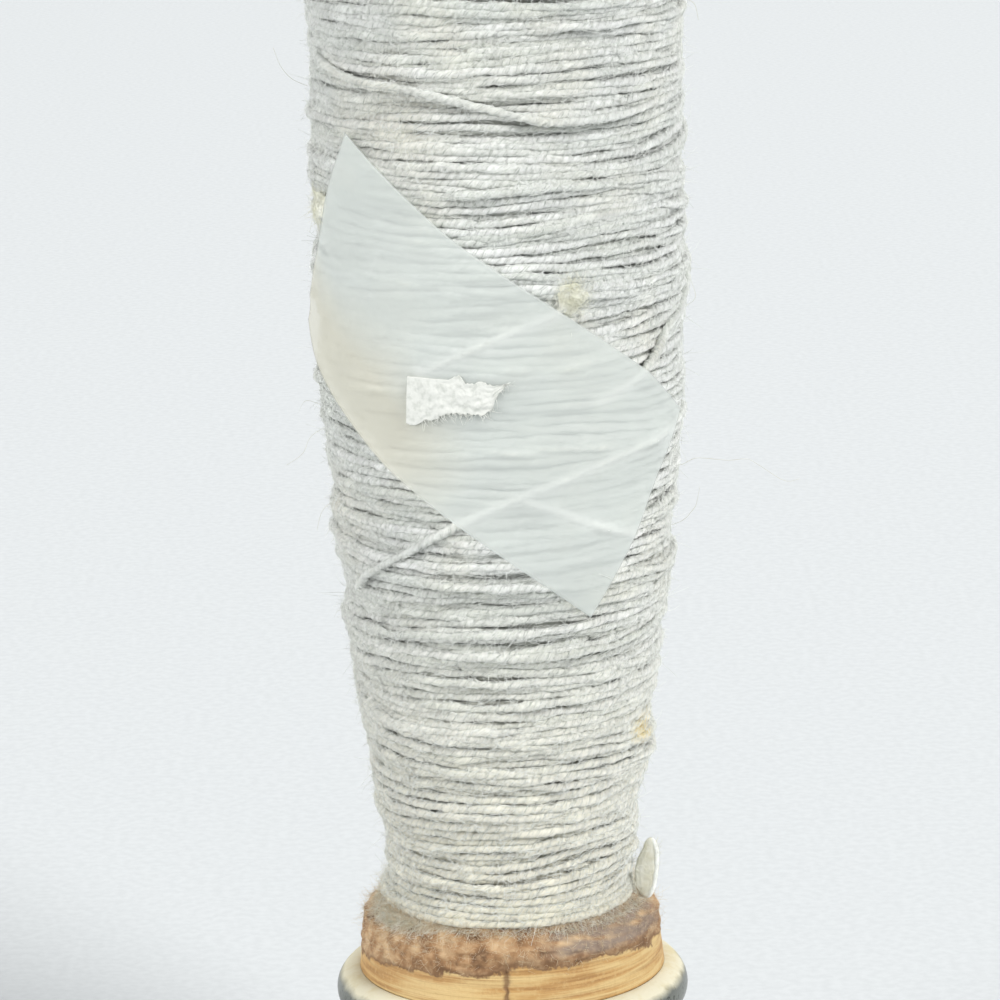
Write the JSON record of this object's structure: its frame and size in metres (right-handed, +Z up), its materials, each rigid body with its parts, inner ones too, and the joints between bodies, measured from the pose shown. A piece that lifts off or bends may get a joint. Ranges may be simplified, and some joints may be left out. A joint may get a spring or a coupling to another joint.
{
  "type": "loom bobbin",
  "caption": "Turned wooden loom bobbin with steel wire rings on its butt and a stepped spindle bore, wound with coarse white cotton yarn; frosted tape with torn paper lies across the turns.",
  "frame": {"origin": "on the axis of the bore, at the base that the bobbin stands on", "axes": "+Z up the axis from butt to tip; -Y is the pictured front"},
  "size_m": [0.0292, 0.0283, 0.2095],
  "materials": {
    "turned_wood": "turned hardwood, worn, dark with grime at the shoulder",
    "ring_steel": "drawn wire, dull, dusty on top",
    "cotton_yarn": "coarse plied cotton yarn, hairy",
    "cotton_slub": "loose cream cotton fibre",
    "frosted_tape": "frosted translucent film",
    "torn_paper": "white paper with torn fibrous edges"
  },
  "bodies": {
    "root": {"wooden_barrel": "turned_wood", "lower_ring": "ring_steel", "middle_ring": "ring_steel", "upper_ring": "ring_steel", "reserve_bunch": "cotton_yarn", "yarn_core": "cotton_yarn", "yarn_winding": "cotton_yarn", "crossing_strand_upper": "cotton_yarn", "crossing_strand_lower": "cotton_yarn", "front_slub": "cotton_slub", "side_slub": "cotton_slub", "yarn_tail": "cotton_slub", "tape_strip": "frosted_tape", "paper_scrap": "torn_paper"}
  },
  "joints": []
}
